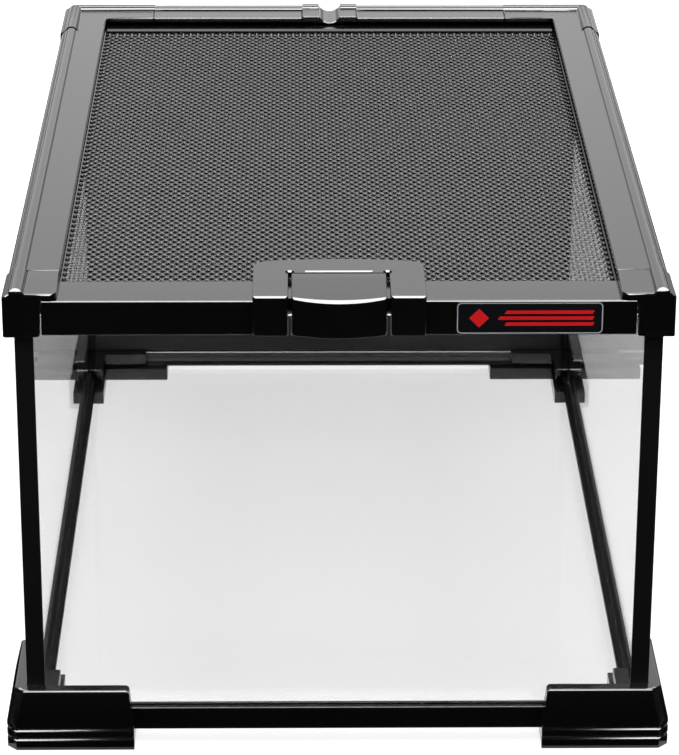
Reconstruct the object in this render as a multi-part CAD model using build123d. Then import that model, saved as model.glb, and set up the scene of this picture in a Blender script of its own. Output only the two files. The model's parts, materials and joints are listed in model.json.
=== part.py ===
from build123d import *
import os

# A small glass terrarium on four feet with a sliding screen lid and a sprung latch.
# Millimetres. X right, Y to the back, Z up, origin under the middle of the feet.

# Glass box
GLASS = 3.0
PANE_X = 96.9
PANE_Y = 149.9
PANE_BOTTOM = 6.5
PANE_TOP = 148.0
FRONT_PANE_TOP = 144.2
FLOOR_BOTTOM = 5.6
FLOOR_TOP = 8.6

# Bottom frame
RAIL_X = 99.0
RAIL_Y = 152.0
RAIL_BOTTOM = 4.7
RAIL_TOP = 12.3
RAIL_WALL = 2.1
INNER_WALL = 6.1
RAIL_LEDGE = 7.8

# Feet
FOOT_X = 104.0
FOOT_Y = 157.0
FOOT_TOP = 19.7
FOOT_LIP = 6.4
FOOT_BASE_WIDTH = 16.0
FOOT_CHAMFER = 3.0
FOOT_END_X = 64.0
FOOT_END_Y = 117.0
FOOT_END_SLOPE = 1.5

# Corner strips, braces and seals
STRIP = 0.7
STRIP_LEG = 5.7
BRACE_LEG = 20.5
BRACE_WIDTH = 4.1
BRACE_TOP = 12.8
BRACE_ROUND = 2.5
SEAL = 1.2
BACK_PANEL = 1.1

# Top frame
TOP_X = 100.3
TOP_Y = 152.5
TOP_BOTTOM = 138.0
FLANGE_UNDER = 150.0
FLANGE_TOP = 151.9
FLANGE_WIDTH = 15.7
TOP_WALL = 1.6
GUIDE_NEAR = 9.5
GUIDE_FAR = 10.7
GUIDE_LEDGE = 14.3
LEDGE_BOTTOM = 143.6
GRIP_BOTTOM = 142.6
LEDGE_TOP = 145.2
BEAD_MIDDLE = 3.6
BEAD_HALF = 2.0
BEAD_HEIGHT = 1.25
CORNER_EXTRA = 0.6
SHOULDER = 1.3
FRONT_SEAM = -132.3
SIDE_SEAM = 120.5
REAR_SEAM = 66.5
FRONT_BLOCK_X = 89.8
OUTLET_HALF = 10.3
OUTLET_RISE = 0.6
NOTCH_HALF = 4.05
NOTCH_BOTTOM = 150.1
GUTTER_HALF = 5.6
GUTTER_UNDER = 149.3

# Lid
BAR_X = 89.2
BAR_FRONT = -152.5
BAR_BACK = -136.0
BAR_BOTTOM = 138.7
BAR_TOP = 149.7
BAR_WALL = 1.5
BAR_PLATE_BOTTOM = 145.0
POCKET_X = 15.4
POCKET_FLOOR = 146.6
POCKET_INNER_X = 13.2
POCKET_FRONT = -148.7
POCKET_BACK = -137.0
SHELF_TOP = 149.0
LID_BOTTOM = 145.6
RUNNER_TOP = 147.2
LIP_TOP = 149.0
HEM_FRONT_TOP = 148.72
HEM_SLOPE = 2.0
SCREEN_X = 84.2
SCREEN_BACK = 130.0
SCREEN_BOTTOM = 147.7
SCREEN_THICK = 0.5
LID_BACK = 140.5
SIDE_LIP = 0.8
SUPPORT = 1.0
SUPPORT_BOTTOM = 146.4

# Latch
LATCH_X = 26.0
LATCH_BACK = -123.0
LATCH_FRONT = -155.0
LATCH_TOP = 152.0
LATCH_BOTTOM = 139.3
LATCH_ARC = 140.0
LATCH_CORNER = 5.0
TAB_X = 14.3
TAB_BACK = -135.4
TAB_SIDE_FRONT = -154.1
TAB_FRONT = -156.9
TAB_ROUND = 1.6
BEVEL_FRONT = -156.0
BEVEL_BULGE = 2.3
BEVEL_SLOPE = 1.0
TAB_UNDER = 149.4
TAB_TOP = 151.9
TAB_DROP = 0.75
BEVEL_DROP = 0.65
TAB_BOTTOM = 139.2
TAB_INNER = -152.9
HINGE_EDGE = -135.0
RELIEF_X = 14.85
RELIEF_Y = -134.3
RELIEF_R = 1.0
RELIEF_FLARE = 1.5
GROOVE_X = 10.3
GROOVE_BACK = -133.5
GROOVE_DEPTH = 1.1
GROOVE_BEVEL = 0.4
BLOCK_ROUND = 1.1
BLOCK_BEVEL = 0.5
HOOK_X = 5.0
HOOK_FRONT = -144.7
HOOK_BACK = -142.7
HOOK_BOTTOM = 144.6
BADGE_LEFT = 34.9
BADGE_RIGHT = 79.2
BADGE_BOTTOM = 138.95
BADGE_TOP = 149.45
BADGE_THICK = 0.4
BADGE_CORNER = 1.6

LEFT = -1
RIGHT = 1
FRONT = -1
REAR = 1


def block(x0, x1, y0, y1, z0, z1):
    """A box between two opposite corners."""
    middle = ((x0 + x1) / 2, (y0 + y1) / 2, (z0 + z1) / 2)
    return Pos(*middle) * Box(abs(x1 - x0), abs(y1 - y0), abs(z1 - z0))


def plan_prism(points, z0, z1):
    """A prism over a plan outline."""
    return Pos(0, 0, z0) * extrude(make_face(Polyline(*points, close=True)), z1 - z0)


def along_y(points, y0, y1):
    """A section drawn in X and Z, carried from y0 to y1."""
    face = make_face(Plane.XZ * Polyline(*points, close=True))
    return Pos(0, y0, 0) * extrude(face, y1 - y0, dir=(0, 1, 0))


def along_x(points, x0, x1):
    """A section drawn in Y and Z, carried from x0 to x1."""
    face = make_face(Plane.YZ * Polyline(*points, close=True))
    return Pos(x0, 0, 0) * extrude(face, x1 - x0, dir=(1, 0, 0))


def sided(shape, side_x, side_y=REAR):
    """A shape drawn for the right rear, mirrored to the side asked for."""
    if side_x == LEFT:
        shape = mirror(shape, about=Plane.YZ)
    if side_y == FRONT:
        shape = mirror(shape, about=Plane.XZ)
    return shape


# ---- glass box ----

def side_pane(side):
    return sided(block(PANE_X - GLASS, PANE_X, -PANE_Y, PANE_Y, PANE_BOTTOM, PANE_TOP), side)


def end_pane(end):
    top = FRONT_PANE_TOP if end == FRONT else PANE_TOP
    half = PANE_X - GLASS
    return sided(block(-half, half, PANE_Y - GLASS, PANE_Y, PANE_BOTTOM, top), RIGHT, end)


def floor_pane():
    half_x = RAIL_X - INNER_WALL
    half_y = RAIL_Y - INNER_WALL
    return block(-half_x, half_x, -half_y, half_y, FLOOR_BOTTOM, FLOOR_TOP)


def back_panel():
    half = PANE_X - GLASS - SEAL - 0.2
    face = PANE_Y - GLASS
    return block(-half, half, face - BACK_PANEL, face, BRACE_TOP, GRIP_BOTTOM)


# ---- bottom frame ----

def rail_section(outer):
    """The bottom rail: pane channel outside, ledge for the floor glass inside."""
    slot_far = RAIL_WALL + GLASS
    steps = [
        (0.0, RAIL_BOTTOM),
        (0.0, RAIL_TOP - 0.4),
        (0.4, RAIL_TOP),
        (RAIL_WALL, RAIL_TOP),
        (RAIL_WALL, PANE_BOTTOM),
        (slot_far, PANE_BOTTOM),
        (slot_far, RAIL_TOP - 0.3),
        (INNER_WALL, RAIL_TOP - 0.3),
        (INNER_WALL, FLOOR_BOTTOM),
        (RAIL_LEDGE, FLOOR_BOTTOM),
        (RAIL_LEDGE, RAIL_BOTTOM),
    ]
    return [(outer - inset, z) for inset, z in steps]


def mitre_x(outer_x, outer_y, reach):
    """Plan of a rail that runs along X at the rear, mitred at both ends."""
    return [
        (-outer_x, outer_y),
        (outer_x, outer_y),
        (outer_x - reach, outer_y - reach),
        (-outer_x + reach, outer_y - reach),
    ]


def mitre_y(outer_x, outer_y, reach):
    """Plan of a rail that runs along Y at the right, mitred at both ends."""
    return [
        (outer_x, -outer_y),
        (outer_x, outer_y),
        (outer_x - reach, outer_y - reach),
        (outer_x - reach, -outer_y + reach),
    ]


def bottom_end_rail(end):
    bar = along_x(rail_section(RAIL_Y), -RAIL_X, RAIL_X)
    plan = plan_prism(mitre_x(RAIL_X, RAIL_Y, 20.0), 0.0, 30.0)
    return sided(bar & plan, RIGHT, end)


def bottom_side_rail(side):
    bar = along_y(rail_section(RAIL_X), -RAIL_Y, RAIL_Y)
    plan = plan_prism(mitre_y(RAIL_X, RAIL_Y, 20.0), 0.0, 30.0)
    return sided(bar & plan, side)


# ---- feet ----

def foot_face():
    """Inset and height down the outside: two grooves, a leaning face and a rounded lip."""
    return [
        (0.0, 0.0),
        (0.0, 3.3),
        (0.6, 3.6),
        (0.6, 4.0),
        (0.0, 4.3),
        (0.0, 6.5),
        (0.6, 6.8),
        (0.6, 7.2),
        (0.0, 7.5),
        (0.0, 9.0),
        (2.2, FOOT_TOP - 1.1),
        (2.6, FOOT_TOP - 0.3),
        (3.3, FOOT_TOP),
    ]


def foot_section(outer):
    """The section of a foot's leg, which grips the bottom rail."""
    gap = FOOT_Y - RAIL_Y
    steps = foot_face() + [
        (FOOT_LIP, FOOT_TOP),
        (FOOT_LIP, RAIL_TOP),
        (gap, RAIL_TOP),
        (gap, RAIL_BOTTOM),
        (FOOT_BASE_WIDTH, RAIL_BOTTOM),
        (FOOT_BASE_WIDTH, 0.0),
    ]
    return [(outer - inset, z) for inset, z in steps]


def leg_end(start):
    """The free end of a foot's leg leans back a little and has a rounded top."""
    return [
        (start, 0.0),
        (start, 7.5),
        (start + FOOT_END_SLOPE, FOOT_TOP - 0.8),
        (start + FOOT_END_SLOPE + 0.8, FOOT_TOP),
        (200.0, FOOT_TOP),
        (200.0, 0.0),
    ]


def foot_corner_cut():
    """What the cut corner takes off: it leans and is grooved like the faces beside it."""
    diagonal = 2.0 ** 0.5
    section = [(-inset * diagonal, z) for inset, z in foot_face()]
    section = section + [(section[-1][0], 30.0), (50.0, 30.0), (50.0, -1.0), (0.0, -1.0)]
    middle = (FOOT_X - FOOT_CHAMFER / 2, FOOT_Y - FOOT_CHAMFER / 2, 0.0)
    return Pos(*middle) * Rot(0, 0, 45) * along_y(section, -30.0, 30.0)


def foot(side, end):
    reach = 60.0
    x_leg = along_x(foot_section(FOOT_Y), FOOT_END_X, FOOT_X)
    x_leg = x_leg & along_y(leg_end(FOOT_END_X), 0.0, 200.0)
    x_leg = x_leg & plan_prism(mitre_x(FOOT_X, FOOT_Y, reach), 0.0, 30.0)
    y_leg = along_y(foot_section(FOOT_X), FOOT_END_Y, FOOT_Y)
    y_leg = y_leg & along_x(leg_end(FOOT_END_Y), 0.0, 200.0)
    y_leg = y_leg & plan_prism(mitre_y(FOOT_X, FOOT_Y, reach), 0.0, 30.0)
    return sided(x_leg + y_leg - foot_corner_cut(), side, end)


# ---- corner strips, braces and seals ----

def corner_strip(side, end):
    """A thin angle outside the glass corner."""
    x = PANE_X + STRIP
    y = PANE_Y + STRIP
    outer = block(x - STRIP_LEG, x, y - STRIP_LEG, y, RAIL_TOP, PANE_TOP)
    inner = block(0.0, PANE_X, 0.0, PANE_Y, 0.0, 200.0)
    return sided(outer - inner, side, end)


def corner_brace(side, end):
    """An angle on the floor glass that hooks over the inner walls of the rails."""
    x = RAIL_X - INNER_WALL
    y = RAIL_Y - INNER_WALL
    low = block(x - BRACE_LEG, x, y - BRACE_LEG, y, FLOOR_TOP, BRACE_TOP)
    lip_x = PANE_X - GLASS
    lip_y = PANE_Y - GLASS
    lip = block(x - BRACE_LEG, lip_x, y - BRACE_LEG, lip_y, RAIL_TOP - 0.3, BRACE_TOP)
    space = block(0.0, x - BRACE_WIDTH, 0.0, y - BRACE_WIDTH, 0.0, 200.0)
    inner = space.edges().filter_by(Axis.Z)
    space = fillet(inner.sort_by(lambda edge: edge.center().X + edge.center().Y)[-1], BRACE_ROUND)
    seal = corner_seal(RIGHT, REAR)
    return sided(low + lip - space - seal, side, end)


def corner_seal(side, end):
    """The silicone bead up the inside of a glass corner."""
    x = PANE_X - GLASS
    y = PANE_Y - GLASS
    corner = plan_prism([(x, y), (x - SEAL, y), (x, y - SEAL)], BRACE_TOP, GRIP_BOTTOM)
    return sided(corner, side, end)


def floor_end_seal(end):
    y = RAIL_Y - INNER_WALL
    half = RAIL_X - INNER_WALL - BRACE_LEG
    section = [(y, FLOOR_TOP), (y, FLOOR_TOP + SEAL), (y - SEAL, FLOOR_TOP)]
    return sided(along_x(section, -half, half), RIGHT, end)


def floor_side_seal(side):
    x = RAIL_X - INNER_WALL
    half = RAIL_Y - INNER_WALL - BRACE_LEG
    section = [(x, FLOOR_TOP), (x, FLOOR_TOP + SEAL), (x - SEAL, FLOOR_TOP)]
    return sided(along_y(section, -half, half), side)


# ---- top frame ----

def top_boxes(glass_inset, extra, top):
    """The top rail's rectangles as near inset, far inset, low and high."""
    slot_far = glass_inset + GLASS
    return [
        (-extra, TOP_WALL, TOP_BOTTOM, FLANGE_UNDER),
        (TOP_WALL, glass_inset, TOP_BOTTOM, TOP_BOTTOM + 1.6),
        (TOP_WALL, slot_far, PANE_TOP, FLANGE_UNDER),
        (slot_far, slot_far + 1.6, GRIP_BOTTOM, FLANGE_UNDER),
        (GUIDE_NEAR, GUIDE_FAR, LEDGE_BOTTOM, FLANGE_UNDER),
        (slot_far + 1.6, GUIDE_LEDGE, LEDGE_BOTTOM, LEDGE_TOP),
        (SHOULDER, FLANGE_WIDTH, FLANGE_UNDER, top),
    ]


def top_run(run, outer, glass_inset, start, stop, extra=0.0, rise=0.0):
    """A length of top rail along X or Y with its half-round bead."""
    top = FLANGE_TOP + rise
    body = None
    for near, far, low, high in top_boxes(glass_inset, extra, top):
        if run == "x":
            piece = block(start, stop, outer - far, outer - near, low, high)
        else:
            piece = block(outer - far, outer - near, start, stop, low, high)
        body = piece if body is None else body + piece
    slope = [
        (outer + extra, FLANGE_UNDER),
        (outer + extra, top - SHOULDER),
        (outer - SHOULDER, top),
        (outer - SHOULDER, FLANGE_UNDER),
    ]
    slope_body = along_x(slope, start, stop) if run == "x" else along_y(slope, start, stop)
    return body + slope_body + bead(run, outer, start, stop, top, extra * 0.5)


def bead(run, outer, start, stop, top, grow=0.0):
    """A low half-round bead that stands on the flange."""
    half = BEAD_HALF + grow
    height = BEAD_HEIGHT + grow
    radius = (half * half + height * height) / (2.0 * height)
    rod = Cylinder(radius, stop - start)
    middle = (start + stop) / 2
    across = outer - BEAD_MIDDLE
    if run == "x":
        rod = Pos(middle, across, top + height - radius) * Rot(0, 90, 0) * rod
        cap = block(start, stop, across - half, across + half, top - 0.8, top + height)
    else:
        rod = Pos(across, middle, top + height - radius) * Rot(90, 0, 0) * rod
        cap = block(across - half, across + half, start, stop, top - 0.8, top + height)
    return rod & cap


def glass_cut(end):
    """What the glass and the corner strip need inside a top corner."""
    return side_pane(RIGHT) + end_pane(end) + corner_strip(RIGHT, end)


def top_side_rail(side):
    return sided(top_run("y", TOP_X, TOP_X - PANE_X, FRONT_SEAM, SIDE_SEAM), side)


def rear_rail(side):
    return sided(top_run("x", TOP_Y, TOP_Y - PANE_Y, OUTLET_HALF, REAR_SEAM), side)


def top_rear_corner(side):
    """Two lengths of rail, mitred, with a bead a little larger than the rails' own."""
    grow = CORNER_EXTRA
    x_run = top_run("x", TOP_Y, TOP_Y - PANE_Y, REAR_SEAM, TOP_X + 1.0, grow)
    y_run = top_run("y", TOP_X, TOP_X - PANE_X, SIDE_SEAM, TOP_Y + 1.0, grow)
    x_run = x_run & plan_prism(mitre_x(TOP_X + 1.0, TOP_Y + 1.0, 60.0), 130.0, 160.0)
    y_run = y_run & plan_prism(mitre_y(TOP_X + 1.0, TOP_Y + 1.0, 60.0), 130.0, 160.0)
    return sided(x_run + y_run - glass_cut(REAR), side)


def top_front_corner(side):
    """The rail's end piece: a block round the glass corner and a short flange."""
    run = top_run("y", TOP_X, TOP_X - PANE_X, -TOP_Y, FRONT_SEAM, CORNER_EXTRA, 0.0)
    outer = TOP_X + CORNER_EXTRA
    face = block(FRONT_BLOCK_X, outer, -TOP_Y, -PANE_Y + GLASS, TOP_BOTTOM, FLANGE_UNDER)
    body = run + face
    clear = block(0.0, FRONT_BLOCK_X - 0.2, -200.0, BAR_BACK + 0.4, 0.0, FLANGE_UNDER)
    lip = [
        (-TOP_Y, FLANGE_TOP - BLOCK_BEVEL),
        (-TOP_Y + BLOCK_BEVEL, FLANGE_TOP),
        (-TOP_Y, FLANGE_TOP + 1.0),
    ]
    body = body - clear - glass_cut(FRONT)
    upright = body.edges().filter_by(Axis.Z)
    corner = upright.filter_by_position(Axis.X, outer - 0.01, outer + 0.01)
    corner = corner.filter_by_position(Axis.Y, -TOP_Y - 0.01, -TOP_Y + 0.01)
    body = fillet(corner, 1.2)
    inner = body.edges().filter_by(Axis.Z)
    inner = inner.filter_by_position(Axis.X, TOP_X - FLANGE_WIDTH - 0.01, TOP_X - FLANGE_WIDTH + 0.01)
    inner = inner.filter_by_position(Axis.Y, -TOP_Y - 0.01, -TOP_Y + 0.01)
    body = fillet(inner, 2.4)
    bead_side = TOP_X - BEAD_MIDDLE - BEAD_HALF - CORNER_EXTRA / 2
    bead_end = [
        (-TOP_Y, FLANGE_TOP),
        (-TOP_Y + 0.4, FLANGE_TOP + 0.8),
        (-TOP_Y + 1.2, FLANGE_TOP + 1.6),
        (-TOP_Y + 1.2, FLANGE_TOP + 3.0),
        (-TOP_Y - 1.0, FLANGE_TOP + 3.0),
        (-TOP_Y - 1.0, FLANGE_TOP),
    ]
    body = body - along_x(lip, 0.0, bead_side) - along_x(bead_end, 0.0, outer + 1.0)
    return sided(body, side)


def cable_outlet():
    """The block that joins the rear rails, with a round notch across its top."""
    top = FLANGE_TOP + OUTLET_RISE
    body = top_run("x", TOP_Y, TOP_Y - PANE_Y, -OUTLET_HALF, OUTLET_HALF, 0.0, OUTLET_RISE)
    near = TOP_Y - FLANGE_WIDTH
    gutter = block(-GUTTER_HALF, GUTTER_HALF, near, TOP_Y, GUTTER_UNDER, FLANGE_UNDER)
    depth = top - NOTCH_BOTTOM
    radius = (NOTCH_HALF * NOTCH_HALF + depth * depth) / (2.0 * depth)
    notch = Pos(0, TOP_Y - 8.0, NOTCH_BOTTOM + radius) * Rot(90, 0, 0) * Cylinder(radius, 40.0)
    notch = notch & block(-NOTCH_HALF, NOTCH_HALF, 120.0, 170.0, NOTCH_BOTTOM, top)
    upper = block(-NOTCH_HALF, NOTCH_HALF, 120.0, 170.0, top, 170.0)
    return body + gutter - notch - upper


# ---- lid ----

def lid_front_bar():
    body = block(-BAR_X, BAR_X, BAR_FRONT, BAR_BACK, BAR_BOTTOM, BAR_TOP)
    inside = block(-100.0, 100.0, BAR_FRONT + BAR_WALL, 0.0, 0.0, BAR_PLATE_BOTTOM)
    mouth = block(-POCKET_X, POCKET_X, -200.0, POCKET_FRONT, 0.0, 200.0)
    pocket = block(-POCKET_INNER_X, POCKET_INNER_X, -200.0, POCKET_BACK, POCKET_FLOOR, 200.0)
    shelf = block(-POCKET_X, POCKET_X, POCKET_FRONT, 0.0, SHELF_TOP, 200.0)
    slot = block(-HOOK_X - 1.0, HOOK_X + 1.0, HOOK_FRONT - 2.3, HOOK_BACK + 0.7, 140.0, 200.0)
    rest = block(-SCREEN_X, SCREEN_X, BAR_BACK, BAR_BACK + SUPPORT, SUPPORT_BOTTOM, SCREEN_BOTTOM)
    body = body - inside - mouth - pocket - shelf - slot
    edge = body.edges().filter_by(Axis.X)
    edge = edge.filter_by_position(Axis.Y, BAR_FRONT - 0.01, BAR_FRONT + 0.01)
    edge = edge.filter_by_position(Axis.Z, BAR_TOP - 0.01, BAR_TOP + 0.01)
    body = chamfer(edge, 0.5)
    gap = block(-POCKET_X, POCKET_X, -140.0, -130.0, POCKET_FLOOR, 200.0)
    return body + (rest - gap)


def lid_side_frame(side):
    """The runner, the lip beside the screen and the support under its edge."""
    runner = block(SCREEN_X, BAR_X, BAR_BACK, LID_BACK, LID_BOTTOM, RUNNER_TOP)
    lip = block(SCREEN_X, SCREEN_X + SIDE_LIP, BAR_BACK, LID_BACK, RUNNER_TOP, LIP_TOP)
    support = block(
        SCREEN_X - SUPPORT,
        SCREEN_X,
        BAR_BACK + SUPPORT,
        SCREEN_BACK - SUPPORT,
        SUPPORT_BOTTOM,
        SCREEN_BOTTOM,
    )
    return sided(runner + lip + support, side)


def lid_rear_frame():
    """A bar that runs in under the rear rail: its front edge slopes, and it carries the screen."""
    section = [
        (SCREEN_BACK, LID_BOTTOM),
        (SCREEN_BACK, HEM_FRONT_TOP),
        (SCREEN_BACK + HEM_SLOPE, LIP_TOP),
        (LID_BACK, LIP_TOP),
        (LID_BACK, LID_BOTTOM),
    ]
    bar = along_x(section, -SCREEN_X, SCREEN_X)
    support = block(
        -SCREEN_X,
        SCREEN_X,
        SCREEN_BACK - SUPPORT,
        SCREEN_BACK,
        SUPPORT_BOTTOM,
        SCREEN_BOTTOM,
    )
    return bar + support


def lid_screen():
    """The screen as a plain sheet."""
    top = SCREEN_BOTTOM + SCREEN_THICK
    return block(-SCREEN_X, SCREEN_X, BAR_BACK, SCREEN_BACK, SCREEN_BOTTOM, top)


# ---- latch ----

def latch_housing():
    """The cover fixed to the lid bar, with a block each side of the tab."""
    plan = Pos(0, (LATCH_BACK + LATCH_FRONT) / 2) * Rectangle(2 * LATCH_X, LATCH_BACK - LATCH_FRONT)
    plan = plan & (Pos(0, LATCH_BACK - LATCH_ARC) * Circle(LATCH_ARC))
    rear = plan.vertices().sort_by(Axis.Y)[-2:]
    plan = fillet(rear, LATCH_CORNER)
    length = HINGE_EDGE - LATCH_FRONT + 10.0
    plan = plan - Pos(0, HINGE_EDGE - length / 2) * Rectangle(2 * POCKET_X, length)
    front = plan.vertices().filter_by_position(Axis.Y, LATCH_FRONT - 0.01, LATCH_FRONT + 0.01)
    plan = fillet(front, BLOCK_ROUND)
    body = Pos(0, 0, LATCH_BOTTOM) * extrude(plan, LATCH_TOP - LATCH_BOTTOM)
    under = block(-100.0, 100.0, BAR_FRONT, 0.0, 0.0, BAR_TOP)
    lip = [
        (LATCH_FRONT, LATCH_TOP - BLOCK_BEVEL),
        (LATCH_FRONT + BLOCK_BEVEL, LATCH_TOP),
        (LATCH_FRONT, LATCH_TOP + 1.0),
    ]
    body = body - under - along_x(lip, -100.0, 100.0) - bend_groove()
    for side in (LEFT, RIGHT):
        body = body - relief_hole(side)
    return body


def bend_groove():
    """The groove behind the tab, with a bevelled back edge."""
    section = [
        (-140.0, LATCH_TOP - GROOVE_DEPTH),
        (GROOVE_BACK, LATCH_TOP - GROOVE_DEPTH),
        (GROOVE_BACK, LATCH_TOP - GROOVE_BEVEL),
        (GROOVE_BACK + GROOVE_BEVEL, LATCH_TOP),
        (GROOVE_BACK + GROOVE_BEVEL, 200.0),
        (-140.0, 200.0),
    ]
    return along_x(section, -GROOVE_X, GROOVE_X)


def relief_hole(side):
    """The flared hole at the end of a slit."""
    flare = Cone(RELIEF_R, RELIEF_FLARE, RELIEF_FLARE - RELIEF_R)
    depth = (RELIEF_FLARE - RELIEF_R) / 2
    hole = Pos(0, 0, 150.0) * Cylinder(RELIEF_R, 20.0) + Pos(0, 0, LATCH_TOP - depth) * flare
    return Pos(side * RELIEF_X, RELIEF_Y, 0) * hole


def latch_tab():
    """The sprung tab: a bowed grip in front and a hook under its plate."""
    bulge = TAB_SIDE_FRONT - TAB_FRONT
    radius = (TAB_X * TAB_X + bulge * bulge) / (2.0 * bulge)
    plan = Pos(0, (TAB_BACK + TAB_FRONT) / 2) * Rectangle(2 * TAB_X, TAB_BACK - TAB_FRONT)
    plan = plan & (Pos(0, TAB_FRONT + radius) * Circle(radius))
    front = plan.vertices().sort_by(Axis.Y)[:2]
    plan = fillet(front, TAB_ROUND)
    body = Pos(0, 0, TAB_BOTTOM) * extrude(plan, TAB_TOP - TAB_BOTTOM)
    body = body - block(-100.0, 100.0, TAB_INNER, 0.0, 0.0, TAB_UNDER)
    slope = [
        (-140.0, TAB_TOP),
        (-158.0, TAB_TOP - TAB_DROP),
        (-158.0, 160.0),
        (-140.0, 160.0),
    ]
    body = body - along_x(slope, -20.0, 20.0)
    body = body & front_bevel()
    hook = block(-HOOK_X, HOOK_X, HOOK_FRONT, HOOK_BACK, HOOK_BOTTOM, TAB_UNDER)
    toe = [
        (HOOK_FRONT, HOOK_BOTTOM),
        (HOOK_FRONT, HOOK_BOTTOM + 0.6),
        (HOOK_FRONT + 0.6, HOOK_BOTTOM),
    ]
    return body + hook - along_x(toe, -20.0, 20.0)


def front_bevel():
    """The cone that leaves a curved bevel along the tab's bowed front edge."""
    radius = (TAB_X * TAB_X + BEVEL_BULGE * BEVEL_BULGE) / (2.0 * BEVEL_BULGE)
    level = TAB_TOP - BEVEL_DROP
    low = TAB_BOTTOM - 1.0
    high = TAB_TOP + 1.0
    wide = radius + (level - low) / BEVEL_SLOPE
    narrow = radius - (high - level) / BEVEL_SLOPE
    return Pos(0, BEVEL_FRONT + radius, (low + high) / 2) * Cone(wide, narrow, high - low)


def badge_plate():
    """A small rounded plate on the front of the lid bar."""
    width = BADGE_RIGHT - BADGE_LEFT
    height = BADGE_TOP - BADGE_BOTTOM
    face = RectangleRounded(width, height, BADGE_CORNER)
    plate = extrude(face, BADGE_THICK)
    middle = ((BADGE_LEFT + BADGE_RIGHT) / 2, BAR_FRONT, (BADGE_BOTTOM + BADGE_TOP) / 2)
    return Pos(*middle) * Rot(90, 0, 0) * plate


def all_parts():
    """Every node by name."""
    parts = {
        "glass_left": side_pane(LEFT),
        "glass_right": side_pane(RIGHT),
        "glass_front": end_pane(FRONT),
        "glass_rear": end_pane(REAR),
        "glass_floor": floor_pane(),
        "background_panel": back_panel(),
        "bottom_rail_front": bottom_end_rail(FRONT),
        "bottom_rail_rear": bottom_end_rail(REAR),
        "bottom_rail_left": bottom_side_rail(LEFT),
        "bottom_rail_right": bottom_side_rail(RIGHT),
        "floor_seal_front": floor_end_seal(FRONT),
        "floor_seal_rear": floor_end_seal(REAR),
        "floor_seal_left": floor_side_seal(LEFT),
        "floor_seal_right": floor_side_seal(RIGHT),
        "top_rail_left": top_side_rail(LEFT),
        "top_rail_right": top_side_rail(RIGHT),
        "top_rail_rear_left": rear_rail(LEFT),
        "top_rail_rear_right": rear_rail(RIGHT),
        "top_corner_rear_left": top_rear_corner(LEFT),
        "top_corner_rear_right": top_rear_corner(RIGHT),
        "top_corner_front_left": top_front_corner(LEFT),
        "top_corner_front_right": top_front_corner(RIGHT),
        "cable_outlet": cable_outlet(),
        "lid_front_bar": lid_front_bar(),
        "lid_frame_left": lid_side_frame(LEFT),
        "lid_frame_right": lid_side_frame(RIGHT),
        "lid_frame_rear": lid_rear_frame(),
        "lid_screen": lid_screen(),
        "latch_housing": latch_housing(),
        "latch_tab": latch_tab(),
        "badge_plate": badge_plate(),
    }
    for end_name, end in (("front", FRONT), ("rear", REAR)):
        for side_name, side in (("left", LEFT), ("right", RIGHT)):
            place = f"{end_name}_{side_name}"
            parts[f"foot_{place}"] = foot(side, end)
            parts[f"corner_strip_{place}"] = corner_strip(side, end)
            parts[f"corner_brace_{place}"] = corner_brace(side, end)
            parts[f"corner_seal_{place}"] = corner_seal(side, end)
    return parts


os.makedirs("parts", exist_ok=True)
for name, part in all_parts().items():
    export_step(part, f"parts/{name}.step")
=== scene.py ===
"""Small glass terrarium with a sliding screen lid.

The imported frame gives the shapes; this adds the rounded edges, the screen, the badge, the finishes
and the studio.
"""

from __future__ import annotations

import json
import logging
import math
from dataclasses import dataclass
from enum import Enum
from typing import Any, Callable, Iterable, Sequence

import bmesh
import bpy
import numpy as np
from mathutils import Matrix, Vector

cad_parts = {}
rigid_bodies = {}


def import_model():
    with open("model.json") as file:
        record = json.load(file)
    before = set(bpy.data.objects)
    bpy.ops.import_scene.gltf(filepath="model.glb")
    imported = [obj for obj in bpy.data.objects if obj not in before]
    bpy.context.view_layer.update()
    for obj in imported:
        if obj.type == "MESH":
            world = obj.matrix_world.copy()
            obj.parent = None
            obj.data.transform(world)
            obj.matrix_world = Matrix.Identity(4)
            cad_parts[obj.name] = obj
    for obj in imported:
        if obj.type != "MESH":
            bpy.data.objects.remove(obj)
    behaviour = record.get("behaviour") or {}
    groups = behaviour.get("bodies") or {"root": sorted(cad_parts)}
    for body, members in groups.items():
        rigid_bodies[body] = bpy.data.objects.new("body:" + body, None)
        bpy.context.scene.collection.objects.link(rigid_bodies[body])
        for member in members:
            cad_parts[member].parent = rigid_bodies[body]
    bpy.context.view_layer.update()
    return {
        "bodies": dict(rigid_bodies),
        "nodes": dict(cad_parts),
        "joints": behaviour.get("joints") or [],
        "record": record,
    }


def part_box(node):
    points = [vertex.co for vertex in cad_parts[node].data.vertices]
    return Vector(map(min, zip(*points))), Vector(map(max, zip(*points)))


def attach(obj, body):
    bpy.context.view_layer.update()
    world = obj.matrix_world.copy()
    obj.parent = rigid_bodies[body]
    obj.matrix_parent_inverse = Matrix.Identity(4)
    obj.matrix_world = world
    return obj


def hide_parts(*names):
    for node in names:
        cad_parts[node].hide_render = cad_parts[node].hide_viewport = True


LOG = logging.getLogger("terrarium")
MM = 0.001
CORNERS = 8  # points round one diamond of the screen
FLOAT = "NodeSocketFloat"
Colour = tuple[float, float, float]
Frame = dict[str, Any]
DUST: Colour = (0.36, 0.35, 0.33)


class Body(Enum):
    """The three bodies of the terrarium."""

    TANK = "tank"
    LID = "lid"
    LATCH = "latch"


class Side(Enum):
    """Left or right of the tank, as the sign of X."""

    LEFT = -1
    RIGHT = 1

    @property
    def word(self) -> str:
        """The side as the node names write it."""
        return self.name.lower()


class End(Enum):
    """Front or rear of the tank, as the sign of Y."""

    FRONT = -1
    REAR = 1

    @property
    def word(self) -> str:
        """The end as the node names write it."""
        return self.name.lower()


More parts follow.
